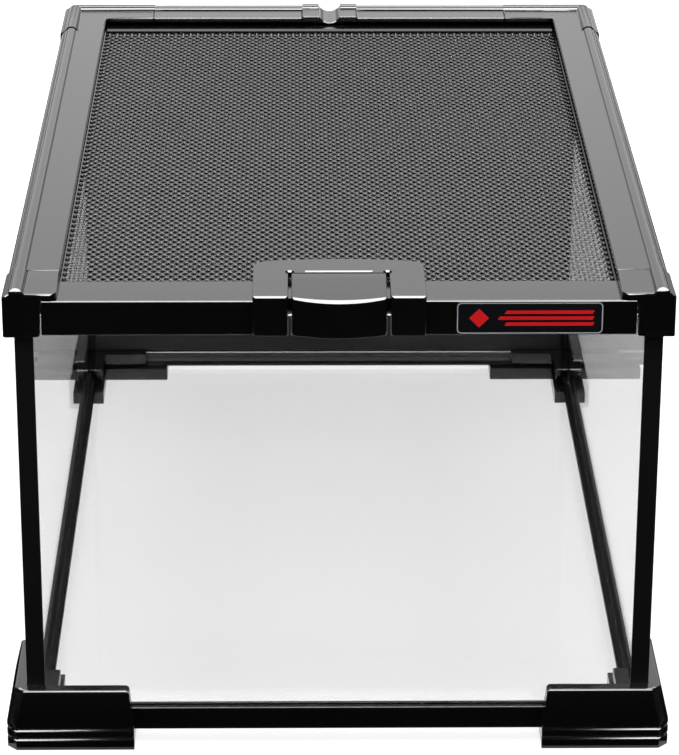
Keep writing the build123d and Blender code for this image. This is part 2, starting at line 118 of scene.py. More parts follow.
# ---------------------------------------------------------------- shader helpers


class Tree:
    """A short hand for laying out shader nodes in one node tree."""

    def __init__(self, tree: bpy.types.NodeTree) -> None:
        """Keeps the tree that the other methods add to."""
        self.tree = tree

    def add(self, kind: str, **values: Any) -> bpy.types.Node:
        """Adds a node and sets its properties and inputs.

        Args:
            kind: The node's type, such as "ShaderNodeTexNoise".
            values: Properties of the node, or inputs by name with spaces as underscores.

        Returns:
            The new node.
        """
        node = self.tree.nodes.new(kind)
        for name, value in values.items():
            if hasattr(node, name):
                setattr(node, name, value)
            else:
                node.inputs[name.replace("_", " ")].default_value = value
        return node

    def link(self, source: bpy.types.NodeSocket, target: bpy.types.NodeSocket) -> None:
        """Joins an output to an input."""
        self.tree.links.new(source, target)

    def math(self, operation: str, first: Any, second: Any = None) -> bpy.types.NodeSocket:
        """Adds a Math node.

        Args:
            operation: The operation's name.
            first: A socket or a number.
            second: A socket, a number, or None for an operation with one input.

        Returns:
            The node's result.
        """
        node = self.add("ShaderNodeMath", operation=operation)
        for place, value in enumerate((first, second)):
            if isinstance(value, bpy.types.NodeSocket):
                self.link(value, node.inputs[place])
            elif value is not None:
                node.inputs[place].default_value = value
        return node.outputs[0]

    def noise(
        self, vector: bpy.types.NodeSocket, scale: float, detail: float
    ) -> bpy.types.NodeSocket:
        """Adds a noise texture.

        Args:
            vector: Where the texture is read.
            scale: Its scale, in patches per metre.
            detail: Its levels of detail.

        Returns:
            The texture's factor.
        """
        node = self.add("ShaderNodeTexNoise", Scale=scale, Detail=detail)
        self.link(vector, node.inputs["Vector"])
        return node.outputs["Fac"]

    def spread(
        self, value: bpy.types.NodeSocket, low: float, high: float, to_low: float, to_high: float
    ) -> bpy.types.NodeSocket:
        """Maps a range of values to another range, clamped.

        Args:
            value: The value to map.
            low: Where the range starts.
            high: Where the range ends.
            to_low: What the start maps to.
            to_high: What the end maps to.

        Returns:
            The mapped value.
        """
        node = self.add(
            "ShaderNodeMapRange", From_Min=low, From_Max=high, To_Min=to_low, To_Max=to_high
        )
        self.link(value, node.inputs["Value"])
        return node.outputs["Result"]

    def mix(self, factor: bpy.types.NodeSocket, first: Any, second: Any) -> bpy.types.NodeSocket:
        """Mixes two colours.

        Args:
            factor: The share of the second colour.
            first: A socket or three numbers.
            second: A socket or three numbers.

        Returns:
            The mixed colour.
        """
        node = self.add("ShaderNodeMix", data_type="RGBA")
        self.link(factor, node.inputs["Factor"])
        for name, value in (("A", first), ("B", second)):
            socket = next(s for s in node.inputs if s.name == name and s.type == "RGBA")
            if isinstance(value, bpy.types.NodeSocket):
                self.link(value, socket)
            else:
                socket.default_value = (*value, 1.0)
        return next(s for s in node.outputs if s.type == "RGBA")


def new_group(
    name: str, inputs: Sequence[tuple[str, str, Any]], outputs: Sequence[tuple[str, str]]
) -> tuple[bpy.types.NodeTree, Tree, bpy.types.Node, bpy.types.Node]:
    """Starts a shader node group with named sockets.

    Args:
        name: The group's name.
        inputs: Name, socket type and default of each input.
        outputs: Name and socket type of each output.

    Returns:
        The group, its layout helper, its input node and its output node.
    """
    group = bpy.data.node_groups.new(name, "ShaderNodeTree")
    for label, kind, default in inputs:
        socket = group.interface.new_socket(label, in_out="INPUT", socket_type=kind)
        if default is not None:
            socket.default_value = default
    for label, kind in outputs:
        group.interface.new_socket(label, in_out="OUTPUT", socket_type=kind)
    tree = Tree(group)
    return group, tree, tree.add("NodeGroupInput"), tree.add("NodeGroupOutput")


def moulded_grain_group() -> bpy.types.NodeTree:
    """Fine mould texture and slow flow variation of plastic or coating.

    Returns:
        A group that gives a roughness and a bump height.
    """
    group, tree, given, out = new_group(
        "moulded_grain",
        [("Scale", FLOAT, 900.0), ("Roughness", FLOAT, 0.3), ("Variation", FLOAT, 0.05)],
        [("Roughness", FLOAT), ("Height", FLOAT)],
    )
    place = tree.add("ShaderNodeTexCoord").outputs["Object"]
    fine = tree.add("ShaderNodeTexNoise", Detail=2.0)
    tree.link(place, fine.inputs["Vector"])
    tree.link(given.outputs["Scale"], fine.inputs["Scale"])
    rough = given.outputs["Roughness"]
    for pattern in (tree.noise(place, 28.0, 4.0), fine.outputs["Fac"]):
        centred = tree.math("SUBTRACT", pattern, 0.5)
        swing = tree.math("MULTIPLY", centred, given.outputs["Variation"])
        rough = tree.math("ADD", rough, swing)
    tree.link(rough, out.inputs["Roughness"])
    tree.link(fine.outputs["Fac"], out.inputs["Height"])
    return group


def edge_wear_group() -> bpy.types.NodeTree:
    """Handling wear along the rounded edges, read from the meshes' own edge mask.

    Returns:
        A group that gives a wear mask from 0 to 1.
    """
    group, tree, given, out = new_group("edge_wear", [("Amount", FLOAT, 0.5)], [("Mask", FLOAT)])
    place = tree.add("ShaderNodeTexCoord").outputs["Object"]
    edge = tree.add("ShaderNodeAttribute", attribute_name="edge_mask").outputs["Fac"]
    patch = tree.spread(tree.noise(place, 120.0, 4.0), 0.42, 0.68, 0.0, 1.0)
    mask = tree.math("MULTIPLY", tree.math("MULTIPLY", edge, patch), given.outputs["Amount"])
    tree.link(mask, out.inputs["Mask"])
    return group


def settled_dust_group() -> bpy.types.NodeTree:
    """A trace of dust on faces that look up.

    Returns:
        A group that gives a dust mask from 0 to 1.
    """
    group, tree, given, out = new_group("settled_dust", [("Amount", FLOAT, 0.2)], [("Mask", FLOAT)])
    place = tree.add("ShaderNodeTexCoord").outputs["Object"]
    split = tree.add("ShaderNodeSeparateXYZ")
    tree.link(tree.add("ShaderNodeNewGeometry").outputs["Normal"], split.inputs[0])
    upward = tree.spread(split.outputs["Z"], 0.6, 1.0, 0.0, 1.0)
    specks = tree.spread(tree.noise(place, 1400.0, 2.0), 0.6, 0.75, 0.0, 1.0)
    cloud = tree.spread(tree.noise(place, 35.0, 3.0), 0.35, 0.75, 0.2, 1.0)
    mask = tree.math("MULTIPLY", tree.math("MULTIPLY", upward, specks), cloud)
    tree.link(tree.math("MULTIPLY", mask, given.outputs["Amount"]), out.inputs["Mask"])
    return group


def wiped_glass_group() -> bpy.types.NodeTree:
    """Faint wipe marks that make clean glass very slightly uneven.

    Returns:
        A group that gives a roughness.
    """
    group, tree, given, out = new_group(
        "wiped_glass", [("Amount", FLOAT, 0.02)], [("Roughness", FLOAT)]
    )
    place = tree.add("ShaderNodeTexCoord").outputs["Object"]
    stretch = tree.add("ShaderNodeMapping")
    stretch.inputs["Scale"].default_value = (1.0, 1.0, 5.0)
    tree.link(place, stretch.inputs["Vector"])
    marks = tree.spread(tree.noise(stretch.outputs["Vector"], 14.0, 5.0), 0.5, 0.8, 0.0, 1.0)
    tree.link(tree.math("MULTIPLY", marks, given.outputs["Amount"]), out.inputs["Roughness"])
    return group


class Effects:
    """The shared node groups, made once."""

    def __init__(self) -> None:
        """Builds every shared group."""
        self.grain = moulded_grain_group()
        self.wear = edge_wear_group()
        self.dust = settled_dust_group()
        self.wipe = wiped_glass_group()


def start_material(name: str) -> tuple[bpy.types.Material, Tree, bpy.types.Node, bpy.types.Node]:
    """Starts a material that has one Principled shader.

    Args:
        name: The material's name.

    Returns:
        The material, its layout helper, the Principled node and the output node.
    """
    material = bpy.data.materials.new(name)
    material.use_nodes = True
    material.node_tree.nodes.clear()
    tree = Tree(material.node_tree)
    shader = tree.add("ShaderNodeBsdfPrincipled")
    output = tree.add("ShaderNodeOutputMaterial")
    tree.link(shader.outputs[0], output.inputs["Surface"])
    return material, tree, shader, output


# ---------------------------------------------------------------- finishes


def grey(level: float) -> Colour:
    """A neutral colour."""
    return (level, level, level)


@dataclass(frozen=True)
class Grain:
    """How the shared grain sits on one finish, with its bump in metres."""

    scale: float
    variation: float
    strength: float = 0.3
    distance: float = 0.00001

    def lay(
        self, effects: Effects, tree: Tree, shader: bpy.types.Node, roughness: float
    ) -> bpy.types.NodeSocket:
        """Bumps a shader with the grain.

        Args:
            effects: The shared node groups.
            tree: The material's layout helper.
            shader: The Principled node.
            roughness: The finish's mean roughness.

        Returns:
            The uneven roughness.
        """
        node = tree.add(
            "ShaderNodeGroup",
            node_tree=effects.grain,
            Scale=self.scale,
            Roughness=roughness,
            Variation=self.variation,
        )
        bump = tree.add("ShaderNodeBump", Strength=self.strength, Distance=self.distance)
        tree.link(node.outputs["Height"], bump.inputs["Height"])
        tree.link(bump.outputs["Normal"], shader.inputs["Normal"])
        return node.outputs["Roughness"]


@dataclass(frozen=True)
class MouldedPlastic:
    """Black injection-moulded plastic with a fine grain, worn edges and a trace of dust."""

    name: str
    colour: Colour
    worn: Colour
    roughness: float
    wear: float = 0.35
    dust: float = 0.12
    grain: Grain = Grain(1100.0, 0.04)
    deepest: float = 0.7
    worn_haze: float = 0.08

    def build(self, effects: Effects) -> bpy.types.Material:
        """Makes the material.

        Args:
            effects: The shared node groups.

        Returns:
            The finished material.
        """
        material, tree, shader, _ = start_material(self.name)
        grained = self.grain.lay(effects, tree, shader, self.roughness)
        wear = tree.add("ShaderNodeGroup", node_tree=effects.wear, Amount=self.wear).outputs["Mask"]
        dust = tree.add("ShaderNodeGroup", node_tree=effects.dust, Amount=self.dust).outputs["Mask"]
        place = tree.add("ShaderNodeTexCoord").outputs["Object"]
        tone = tree.spread(tree.noise(place, 9.0, 4.0), 0.3, 0.7, 0.0, 1.0)
        deep = tuple(self.deepest * part for part in self.colour)
        worn = tree.mix(wear, tree.mix(tone, deep, self.colour), self.worn)
        tree.link(tree.mix(dust, worn, DUST), shader.inputs["Base Color"])
        rough = tree.math("ADD", grained, tree.math("MULTIPLY", wear, self.worn_haze))
        tree.link(rough, shader.inputs["Roughness"])
        return material


@dataclass(frozen=True)
class ScreenCoating:
    """Black baked coating over expanded sheet metal, thinner on the crowns of the strands."""

    name: str = "black_screen_coating"
    colour: Colour = grey(0.004)
    crown: Colour = grey(0.012)
    roughness: float = 0.27
    sheen_level: float = 0.42
    dust: float = 0.1
    grain: Grain = Grain(2600.0, 0.12, strength=0.5, distance=0.00003)

    def build(self, effects: Effects) -> bpy.types.Material:
        """Makes the material.

        Args:
            effects: The shared node groups.

        Returns:
            The finished material.
        """
        material, tree, shader, _ = start_material(self.name)
        grained = self.grain.lay(effects, tree, shader, self.roughness)
        dust = tree.add("ShaderNodeGroup", node_tree=effects.dust, Amount=self.dust).outputs["Mask"]
        crown = tree.add("ShaderNodeAttribute", attribute_name="crown").outputs["Fac"]
        place = tree.add("ShaderNodeTexCoord").outputs["Object"]
        uneven = tree.spread(tree.noise(place, 60.0, 3.0), 0.3, 0.7, 0.55, 1.0)
        base = tree.mix(tree.math("MULTIPLY", crown, uneven), self.colour, self.crown)
        tree.link(tree.mix(dust, base, DUST), shader.inputs["Base Color"])
        tree.link(grained, shader.inputs["Roughness"])
        shader.inputs["Specular IOR Level"].default_value = self.sheen_level
        return material


@dataclass(frozen=True)
class FloatGlass:
    """Clear float glass that lets light through to the floor."""

    name: str = "clear_float_glass"
    tint: Colour = grey(0.985)
    clearest: Colour = grey(0.995)
    shade: Colour = grey(0.96)
    wipe: float = 0.006
    index: float = 1.5

    def build(self, effects: Effects) -> bpy.types.Material:
        """Makes the material.

        Args:
            effects: The shared node groups.

        Returns:
            The finished material.
        """
        material, tree, shader, output = start_material(self.name)
        wipe = tree.add("ShaderNodeGroup", node_tree=effects.wipe, Amount=self.wipe)
        place = tree.add("ShaderNodeTexCoord").outputs["Object"]
        cloud = tree.spread(tree.noise(place, 6.0, 2.0), 0.3, 0.7, 0.0, 1.0)
        tree.link(tree.mix(cloud, self.tint, self.clearest), shader.inputs["Base Color"])
        tree.link(wipe.outputs["Roughness"], shader.inputs["Roughness"])
        shader.inputs["Transmission Weight"].default_value = 1.0
        shader.inputs["IOR"].default_value = self.index
        through = tree.add("ShaderNodeBsdfTransparent")
        through.inputs["Color"].default_value = (*self.shade, 1.0)
        path = tree.add("ShaderNodeLightPath")
        blocked = tree.math("MAXIMUM", path.outputs["Is Shadow Ray"], path.outputs["Is Diffuse Ray"])
        mixed = tree.add("ShaderNodeMixShader")
        tree.link(blocked, mixed.inputs[0])
        tree.link(shader.outputs[0], mixed.inputs[1])
        tree.link(through.outputs[0], mixed.inputs[2])
        tree.link(mixed.outputs[0], output.inputs["Surface"])
        return material


@dataclass(frozen=True)
class PrintedFilm:
    """A smooth film or enamel, for the badge, the back sheet, the seams and the ground edge."""

    name: str
    colour: Colour
    roughness: float
    mottle: float = 0.15
    sheen_level: float = 0.5
    grain: Grain = Grain(1600.0, 0.06)

    def build(self, effects: Effects) -> bpy.types.Material:
        """Makes the material.

        Args:
            effects: The shared node groups.

        Returns:
            The finished material.
        """
        material, tree, shader, _ = start_material(self.name)
        grained = self.grain.lay(effects, tree, shader, self.roughness)
        place = tree.add("ShaderNodeTexCoord").outputs["Object"]
        cloud = tree.spread(tree.noise(place, 25.0, 4.0), 0.3, 0.7, 0.0, 1.0)
        dull = tuple((1.0 - self.mottle) * part for part in self.colour)
        tree.link(tree.mix(cloud, dull, self.colour), shader.inputs["Base Color"])
        tree.link(grained, shader.inputs["Roughness"])
        shader.inputs["Specular IOR Level"].default_value = self.sheen_level
        return material


class Palette:
    """Every finish of the terrarium, built once."""

    def __init__(self) -> None:
        """Builds the shared effects and then each material."""
        effects = Effects()
        frame = MouldedPlastic("gloss_black_frame", grey(0.004), grey(0.02), 0.13)
        foot = MouldedPlastic("gloss_black_foot", grey(0.003), grey(0.02), 0.16)
        strip = MouldedPlastic("black_corner_strip", grey(0.002), grey(0.01), 0.3, wear=0.1, dust=0.05)
        silicone = PrintedFilm("black_silicone", grey(0.003), 0.55, sheen_level=0.12)
        back_sheet = PrintedFilm("dark_back_sheet", grey(0.004), 0.5, sheen_level=0.15)
        silver = PrintedFilm("badge_silver_line", (0.5, 0.52, 0.54), 0.3, mottle=0.3)
        red = PrintedFilm("badge_red_enamel", (0.8, 0.004, 0.008), 0.3, sheen_level=0.1)
        self.frame = frame.build(effects)
        self.foot = foot.build(effects)
        self.strip = strip.build(effects)
        self.screen = ScreenCoating().build(effects)
        self.glass = FloatGlass().build(effects)
        self.silicone = silicone.build(effects)
        self.ground_edge = PrintedFilm("ground_glass_edge", (0.85, 0.87, 0.86), 0.55).build(effects)
        self.back_sheet = back_sheet.build(effects)
        self.badge = PrintedFilm("badge_lacquer", (0.004, 0.006, 0.009), 0.2).build(effects)
        self.silver = silver.build(effects)
        self.red = red.build(effects)


# ---------------------------------------------------------------- mesh helpers


def new_piece(name: str, mesh: bpy.types.Mesh, material: bpy.types.Material) -> bpy.types.Object:
    """Links a mesh to the scene as a piece.

    Args:
        name: The piece's name.
        mesh: Its mesh.
        material: Its only material.

    Returns:
        The new piece.
    """
    piece = bpy.data.objects.new(name, mesh)
    bpy.context.scene.collection.objects.link(piece)
    mesh.materials.clear()
    mesh.materials.append(material)
    return piece


def settle(
    piece: bpy.types.Object, body: Body, nodes: Iterable[str] = ()
) -> bpy.types.Object:
    """Rides a piece on its body and the nodes it stands for.

    Args:
        piece: The piece, already in place.
        body: The body that carries it.
        nodes: The nodes that it stands for.

    Returns:
        The same piece.
    """
    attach(piece, body.value)
    names = tuple(nodes)
    if names:
        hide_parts(*names)
    LOG.info("%s rides on %s, stands for %s", piece.name, body.value, ", ".join(names) or "nothing")
    return piece


@dataclass
class RoundedNode:
    """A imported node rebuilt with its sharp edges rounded."""

    node: str
    radius: float = 0.3
    segments: int = 1
    sharp_from: float = 24.0
    seams: tuple[float, ...] = ()
    crease: float = 32.0
    weld: float = 0.002
    flat_within: float = 0.8
    seam_reach: float = 0.05

    def wants_rounding(self, edge: bmesh.types.BMEdge) -> bool:
        """Tells whether an edge is rounded.

        Args:
            edge: An edge of the joined shape.

        Returns:
            True for a sharp edge that is long enough and does not lie in a seam across the run.
        """
        if len(edge.link_faces) != 2 or edge.calc_length() < self.radius * MM:
            return False
        if edge.calc_face_angle(0.0) < math.radians(self.sharp_from):
            return False
        ends = [corner.co.y for corner in edge.verts]
        reach = self.seam_reach * MM
        return not any(all(abs(y - seam * MM) < reach for y in ends) for seam in self.seams)

    def mesh(self, frame: Frame) -> bpy.types.Mesh:
        """Copies the node's shape, joins its facets and rounds its edges.

        Args:
            frame: The loaded frame.

        Returns:
            A new mesh with an edge mask on the rounded faces.
        """
        shape = bmesh.new()
        shape.from_mesh(frame["nodes"][self.node].data)
        bmesh.ops.remove_doubles(shape, verts=shape.verts, dist=self.weld * MM)
        flat = math.radians(self.flat_within)
        bmesh.ops.dissolve_limit(shape, angle_limit=flat, verts=shape.verts, edges=shape.edges)
        sharp = [edge for edge in shape.edges if self.wants_rounding(edge)]
        marks = shape.faces.layers.int.new("rounded")
        made = bmesh.ops.bevel(
            shape,
            geom=sharp,
            offset=self.radius * MM,
            offset_type="OFFSET",
            segments=self.segments,
            profile=0.5,
            affect="EDGES",
            clamp_overlap=False,
            loop_slide=True,
        )
        for face in made["faces"]:
            face[marks] = 1
        mask = shape.loops.layers.float.new("edge_mask")
        for face in shape.faces:
            face.smooth = True
            for corner in face.loops:
                corner[mask] = float(face[marks])
        crease = math.radians(self.crease)
        for edge in shape.edges:
            edge.smooth = len(edge.link_faces) != 2 or edge.calc_face_angle(0.0) < crease
        result = bpy.data.meshes.new(f"{self.node}_rounded")
        shape.to_mesh(result)
        shape.free()
        return result

    def build(
        self, frame: Frame, material: bpy.types.Material, body: Body, slot: str
    ) -> bpy.types.Object:
        """Makes the piece and puts it in place of its node.

        Args:
            frame: The loaded frame.
            material: The piece's finish.
            body: The body that carries it.
            slot: The record's material slot; not used.

        Returns:
            The new piece.
        """
        piece = new_piece(f"{self.node}_piece", self.mesh(frame), material)
        even = piece.modifiers.new("even_normals", "WEIGHTED_NORMAL")
        even.keep_sharp = True
        return settle(piece, body, [self.node])


# ---------------------------------------------------------------- sub-assemblies


@dataclass
class GlassBox:
    """Four panes, the floor glass, their silicone and the dark sheet on the rear pane."""

    arris: float = 0.2
    sheet_edge: float = 0.2
    seam_edge: float = 0.2
    edge_lift: float = 0.05
    edge_bevel: float = 0.02
    panes: tuple[str, ...] = ("glass_front", "glass_rear", "glass_left", "glass_right", "glass_floor")

    def build(self, frame: Frame, palette: Palette) -> None:
        """Builds the panes and what is glued to them.

        Args:
            frame: The loaded frame.
            palette: The finishes.
        """
        for pane in self.panes:
            RoundedNode(pane, self.arris).build(frame, palette.glass, Body.TANK, "glass")
        sheet = RoundedNode("background_panel", self.sheet_edge)
        sheet.build(frame, palette.back_sheet, Body.TANK, "background_sheet")
        self.ground_edge(palette)
        for node in sorted(frame["nodes"]):
            if "_seal_" in node:
                seam = RoundedNode(node, self.seam_edge, segments=2)
                seam.build(frame, palette.silicone, Body.TANK, "silicone")

    def ground_edge(self, palette: Palette) -> None:
        """Adds the pale ground skin on the front pane's bare top edge.

        Args:
            palette: The finishes.
        """
        low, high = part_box("glass_front")
        shape = bmesh.new()
        made = bmesh.ops.create_cube(shape, size=1.0)
        inset = self.arris * MM
        size = Vector((high.x - low.x - 2 * inset, high.y - low.y - 2 * inset, self.edge_lift * MM))
        middle = Vector(((low.x + high.x) / 2, (low.y + high.y) / 2, high.z + self.edge_lift * MM / 2))
        bmesh.ops.scale(shape, vec=size, verts=made["verts"])
        bmesh.ops.translate(shape, vec=middle, verts=made["verts"])
        long_edges = [edge for edge in shape.edges if edge.calc_length() > size.x / 2]
        bmesh.ops.bevel(
            shape,
            geom=long_edges,
            offset=self.edge_bevel * MM,
            segments=1,
            profile=0.5,
            affect="EDGES",
            clamp_overlap=True,
        )
        mesh = bpy.data.meshes.new("front_pane_ground_edge")
        shape.to_mesh(mesh)
        shape.free()
        settle(new_piece("front_pane_ground_edge", mesh, palette.ground_edge), Body.TANK)


@dataclass
class BottomFrame:
    """The bottom rails, the feet, the corner braces and the corner strips."""

    rail_edge: float = 0.25
    foot_edge: float = 0.2
    brace_edge: float = 0.4
    strip_edge: float = 0.15

    def build(self, frame: Frame, palette: Palette) -> None:
        """Builds everything below the top frame but the glass.

        Args:
            frame: The loaded frame.
            palette: The finishes.
        """
        for place in ("front", "rear", "left", "right"):
            rail = RoundedNode(f"bottom_rail_{place}", self.rail_edge)
            rail.build(frame, palette.foot, Body.TANK, "frame_plastic")
        for end in End:
            for side in Side:
                corner = f"{end.word}_{side.word}"
                foot = RoundedNode(f"foot_{corner}", self.foot_edge)
                foot.build(frame, palette.foot, Body.TANK, "foot_plastic")
                brace = RoundedNode(f"corner_brace_{corner}", self.brace_edge)
                brace.build(frame, palette.foot, Body.TANK, "frame_plastic")
                strip = RoundedNode(f"corner_strip_{corner}", self.strip_edge)
                strip.build(frame, palette.strip, Body.TANK, "strip_plastic")


@dataclass
class TopFrame:
    """The beaded rails, the corner pieces and the cable outlet."""

    edge: float = 0.35
    sharp_from: float = 30.0
    nodes: tuple[str, ...] = (
        "top_rail_left",
        "top_rail_right",
        "top_rail_rear_left",
        "top_rail_rear_right",
        "top_corner_rear_left",
        "top_corner_rear_right",
        "top_corner_front_left",
        "top_corner_front_right",
        "cable_outlet",
    )
    flush_seam: float = 120.5

    def build(self, frame: Frame, palette: Palette) -> None:
        """Builds the top frame.

        Args:
            frame: The loaded frame.
            palette: The finishes.
        """
        for node in self.nodes:
            rail = RoundedNode(node, self.edge, sharp_from=self.sharp_from, seams=(self.flush_seam,))
            rail.build(frame, palette.frame, Body.TANK, "frame_plastic")


@dataclass
class ExpandedScreen:
    """The lid's screen: staggered diamond openings between strands that meet in raised bonds."""

    node: str = "lid_screen"
    columns: int = 61
    rows: int = 61
    opening_x: float = 0.62
    opening_y: float = 0.7
    corner_fill: float = 0.56
    rising_dip: float = 0.2
    falling_dip: float = 0.55
    edge_dip: float = 0.75
    crown_depth: float = 0.12
    weld: float = 0.002

    def ring(self, half_x: float, half_y: float, fill: float) -> np.ndarray:
        """Eight points round a diamond, as fractions of its half sizes.

        Args:
            half_x: Half the width.
            half_y: Half the length.
            fill: How far the four slanting sides are pushed out, 0.5 for straight sides.

        Returns:
            An array of eight X and Y pairs.
        """
        half_turn = np.array([(1.0, 0.0), (fill, fill), (0.0, 1.0), (-fill, fill)])
        return np.vstack([half_turn, -half_turn]) * (half_x, half_y)

    def cell(
        self, half_x: float, half_y: float, low: float, high: float
    ) -> tuple[np.ndarray, np.ndarray]:
        """One diamond of the screen as points and four-cornered faces.

        Args:
            half_x: Half the width of the diamond.
            half_y: Half the length of the diamond.
            low: The underside's height.
            high: The crown of the bonds.

        Returns:
            The points, and the faces as indices into them.
        """
        thick = high - low
        outer = self.ring(half_x, half_y, 0.5)
        inner = self.ring(half_x * self.opening_x, half_y * self.opening_y, self.corner_fill)
        rising, falling = high - thick * self.rising_dip, high - thick * self.falling_dip
        crown = np.array([high, falling, high, rising] * 2)
        rim = np.full(CORNERS, high - thick * self.edge_dip)
        floor = np.full(CORNERS, low)
        rings = [
            np.column_stack([outer, crown]),
            np.column_stack([inner, rim]),
            np.column_stack([inner, floor]),
            np.column_stack([outer, floor]),
        ]
        faces = []
        for level in range(len(rings) - 1):
            here, there = level * CORNERS, (level + 1) * CORNERS
            for step in range(CORNERS):
                after = (step + 1) % CORNERS
                faces.append((here + step, here + after, there + after, there + step))
        return np.vstack(rings), np.array(faces)

    def centres(self, low: Vector, pitch_x: float, pitch_y: float) -> np.ndarray:
        """The middle of every whole diamond, in two staggered grids.

        Args:
            low: The sheet's lowest corner.
            pitch_x: The width of a diamond.
            pitch_y: The length of a diamond.

        Returns:
            An array of X and Y pairs.
        """
        straight = [
            (low.x + (i + 0.5) * pitch_x, low.y + (j + 0.5) * pitch_y)
            for i in range(self.columns)
            for j in range(self.rows)
        ]
        staggered = [
            (low.x + i * pitch_x, low.y + j * pitch_y)
            for i in range(1, self.columns)
            for j in range(1, self.rows)
        ]
        return np.array(straight + staggered)

    def cut_edges(self, faces: np.ndarray) -> list[list[int]]:
        """Keeps the upright walls that only one diamond has, which are the sheet's cut edges.

        Args:
            faces: The four corners of each diamond's upright outer walls.

        Returns:
            The walls round the rim of the sheet.
        """
        corners = np.sort(faces, axis=1)
        _, first, count = np.unique(corners, axis=0, return_index=True, return_counts=True)
        return faces[first[count == 1]].tolist()

    def build(self, frame: Frame, palette: Palette) -> bpy.types.Object:
        """Builds the screen over the whole sheet.

        Args:
            frame: The loaded frame.
            palette: The finishes.

        Returns:
            The screen.
        """
        low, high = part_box(self.node)
        pitch_x = (high.x - low.x) / self.columns
        pitch_y = (high.y - low.y) / self.rows
        cell, cell_faces = self.cell(pitch_x / 2, pitch_y / 2, low.z, high.z)
        middles = self.centres(low, pitch_x, pitch_y)
        shift = np.column_stack([middles, np.zeros(len(middles))])
        points = (cell[None, :, :] + shift[:, None, :]).reshape(-1, 3)
        starts = np.arange(len(middles)) * len(cell)
        faces = (cell_faces[None, :, :] + starts[:, None, None]).reshape(-1, 4)
        below = len(cell) - CORNERS
        outer = np.array(
            [(k, below + k, below + (k + 1) % CORNERS, (k + 1) % CORNERS) for k in range(CORNERS)]
        )
        walls = (outer[None, :, :] + starts[:, None, None]).reshape(-1, 4)
        keys = np.round(points / (self.weld * MM)).astype(np.int64)
        _, first, joined = np.unique(keys, axis=0, return_index=True, return_inverse=True)
        joined = joined.reshape(-1)
        merged = points[first]
        faces = joined[faces].tolist() + self.cut_edges(joined[walls])
        mesh = bpy.data.meshes.new("expanded_screen")
        mesh.from_pydata(merged.tolist(), [], faces)
        mesh.validate()
        crown = mesh.attributes.new("crown", "FLOAT", "POINT")
        depth = self.crown_depth * MM
        lift = np.clip((merged[:, 2] - high.z + depth) / depth, 0.0, 1.0)
        crown.data.foreach_set("value", lift.astype(np.float32))
        mesh.polygons.foreach_set("use_smooth", [True] * len(mesh.polygons))
        piece = new_piece("expanded_screen", mesh, palette.screen)
        return settle(piece, Body.LID, [self.node])


@dataclass
class Lid:
    """The sliding lid: its front bar, its thin frames and the screen."""

    bar_edge: float = 0.2
    frame_edge: float = 0.3
    shelf_seam: float = -148.7
    hem_seam: float = 130.0
    hem_crease: float = 5.0

    def build(self, frame: Frame, palette: Palette) -> None:
        """Builds the lid's frame and its screen.

        Args:
            frame: The loaded frame.
            palette: The finishes.
        """
        bar = RoundedNode("lid_front_bar", self.bar_edge, seams=(self.shelf_seam,))
        bar.build(frame, palette.frame, Body.LID, "frame_plastic")
        for side in Side:
            rail = RoundedNode(f"lid_frame_{side.word}", self.frame_edge)
            rail.build(frame, palette.frame, Body.LID, "frame_plastic")
        hem = RoundedNode(
            "lid_frame_rear", self.frame_edge, seams=(self.hem_seam,), crease=self.hem_crease
        )
        hem.build(frame, palette.frame, Body.LID, "frame_plastic")
        ExpandedScreen().build(frame, palette)


@dataclass
class Latch:
    """The latch cover fixed to the lid and its bowed tab."""

    cover_edge: float = 0.1
    tab_edge: float = 0.1
    sharp_from: float = 50.0
    hinge_seams: tuple[float, ...] = (-135.0, -135.4)
    tab_crease: float = 20.0

    def build(self, frame: Frame, palette: Palette) -> None:
        """Builds the cover and the tab.

        Args:
            frame: The loaded frame.
            palette: The finishes.
        """
        cover = RoundedNode(
            "latch_housing", self.cover_edge, sharp_from=self.sharp_from, seams=self.hinge_seams
        )
        cover.build(frame, palette.frame, Body.LID, "frame_plastic")
        tab = RoundedNode(
            "latch_tab",
            self.tab_edge,
            sharp_from=self.sharp_from,
            seams=self.hinge_seams,
            crease=self.tab_crease,
        )
        tab.build(frame, palette.frame, Body.LATCH, "frame_plastic")


